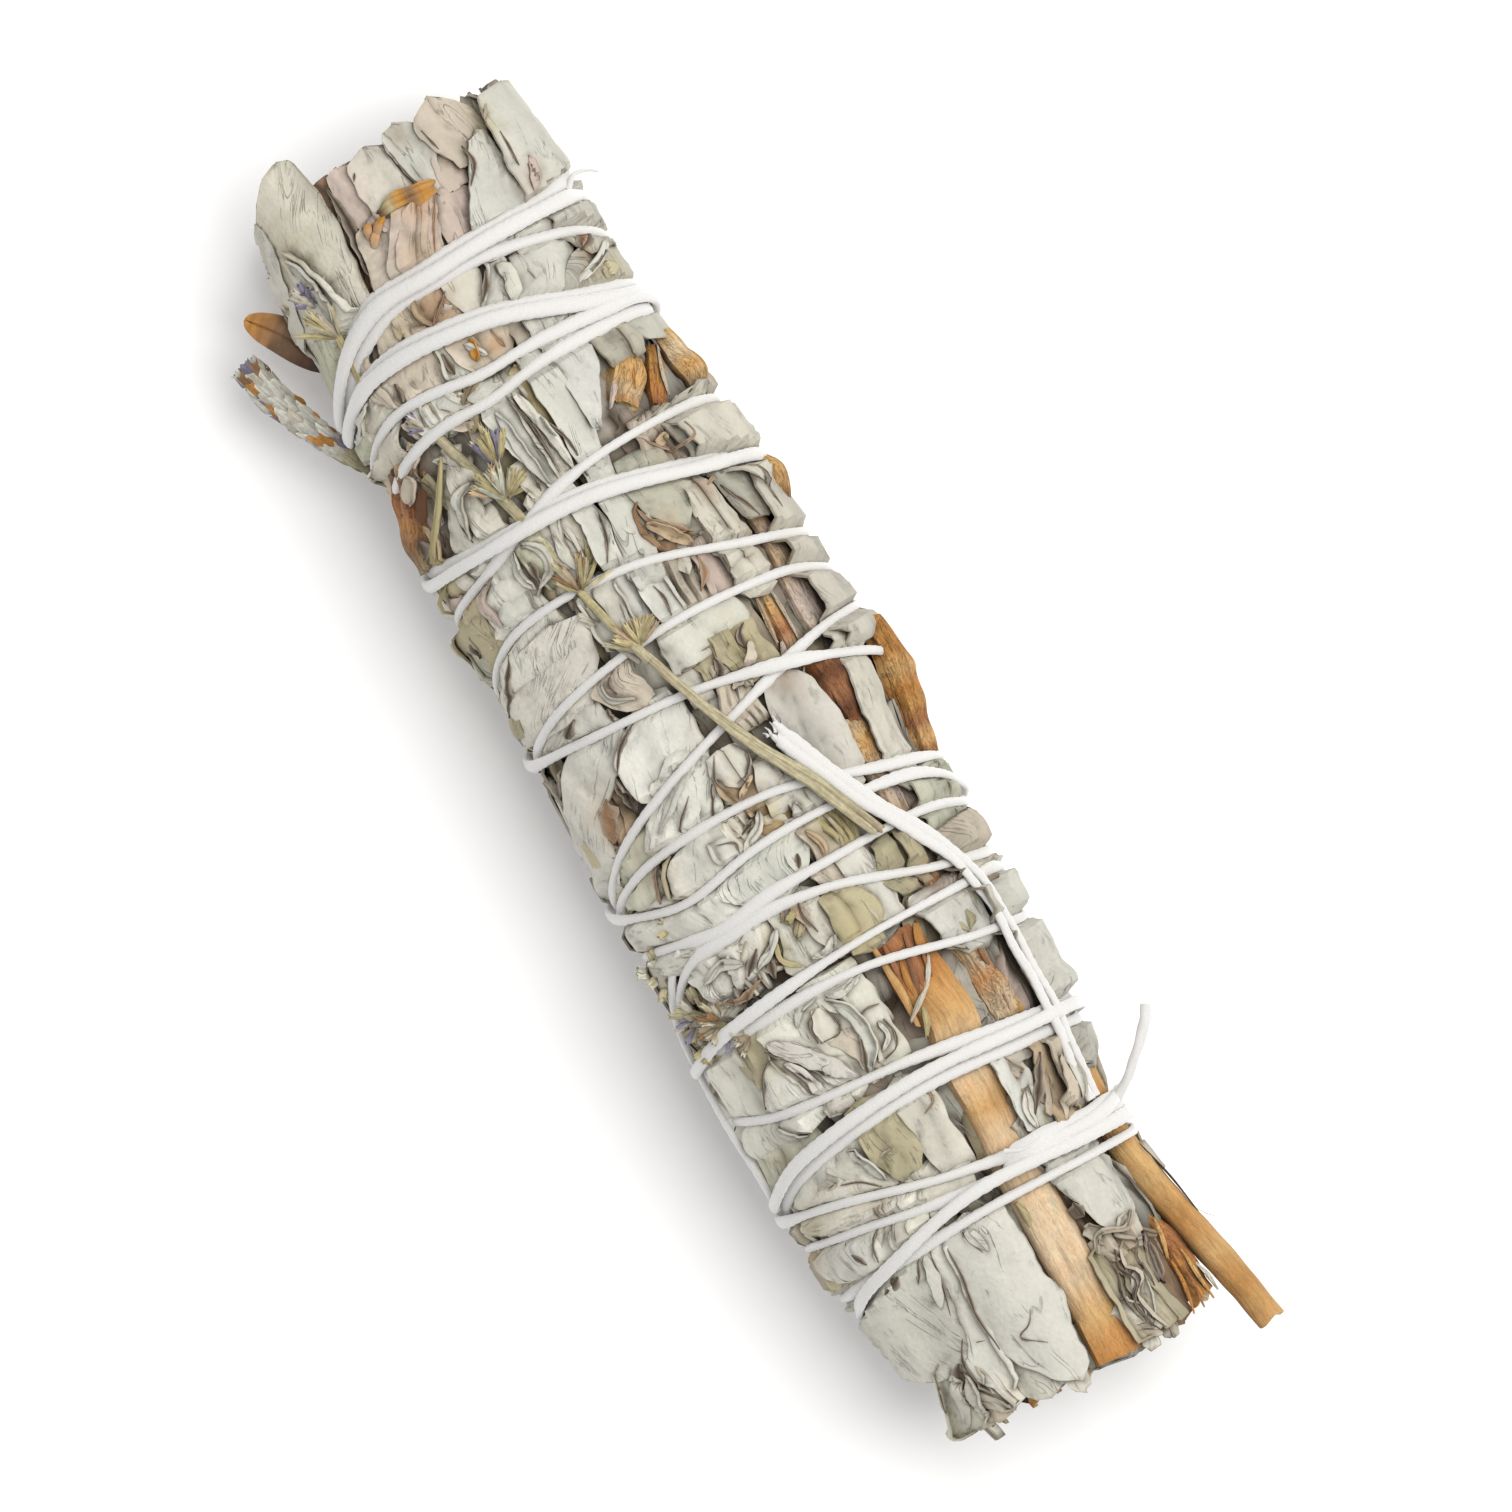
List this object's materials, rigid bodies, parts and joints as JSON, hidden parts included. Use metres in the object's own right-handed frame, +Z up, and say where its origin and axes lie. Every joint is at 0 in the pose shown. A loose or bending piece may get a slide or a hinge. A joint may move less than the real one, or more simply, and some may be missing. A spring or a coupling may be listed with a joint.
{
  "type": "sage smudge stick",
  "caption": "Bundle of dried white sage sprigs with lavender, pressed into a roll and wound with white cotton string, lying on its side.",
  "frame": {"origin": "middle of the stick's bounding box, on the surface that it lies on", "axes": "+X along the stick towards the cut stem ends, -X towards the leaf tips, +Z up"},
  "size_m": [0.151, 0.0462, 0.0349],
  "materials": {
    "sage_leaf": "matte, velvety",
    "sage_stem": "dry bark",
    "brown_leaf": "matte, dry",
    "lavender": "matte, dry",
    "cotton": "soft twisted cotton"
  },
  "bodies": {
    "root": {"sage_sprig_1": "sage_leaf", "sage_sprig_2": "sage_leaf", "sage_sprig_3": "sage_leaf", "sage_sprig_4": "sage_leaf", "sage_sprig_5": "sage_leaf", "sage_sprig_6": "sage_leaf", "sage_sprig_7": "sage_leaf", "sage_sprig_8": "sage_leaf", "sage_stem_1": "sage_stem", "sage_stem_3": "sage_stem", "sage_stem_4": "sage_stem", "sage_stem_5": "sage_stem", "sage_stem_6": "sage_stem", "sage_stem_7": "sage_stem", "sage_stem_8": "sage_stem", "sage_stem_wide": "sage_stem", "sage_stem_side": "sage_stem", "sage_stem_frayed": "sage_stem", "sage_twig_knotted": "sage_stem", "sage_twig_bark": "sage_stem", "sage_twig_edge": "sage_stem", "sage_twig_flat": "sage_stem", "sage_twig_thin": "sage_stem", "sage_twig_pale": "sage_stem", "sage_twig_upper": "sage_stem", "sage_twig_split": "sage_stem", "sage_twig_corner": "sage_stem", "sage_twig_tip": "sage_stem", "sage_twig_hollow": "sage_stem", "sage_twig_curled": "sage_stem", "brown_leaf_rolled": "brown_leaf", "brown_leaf_side": "brown_leaf", "lavender_sprig_long": "lavender", "lavender_sprig_upper": "lavender", "lavender_sprig_low": "lavender", "lavender_spike": "lavender", "cotton_string": "cotton"}
  },
  "joints": []
}
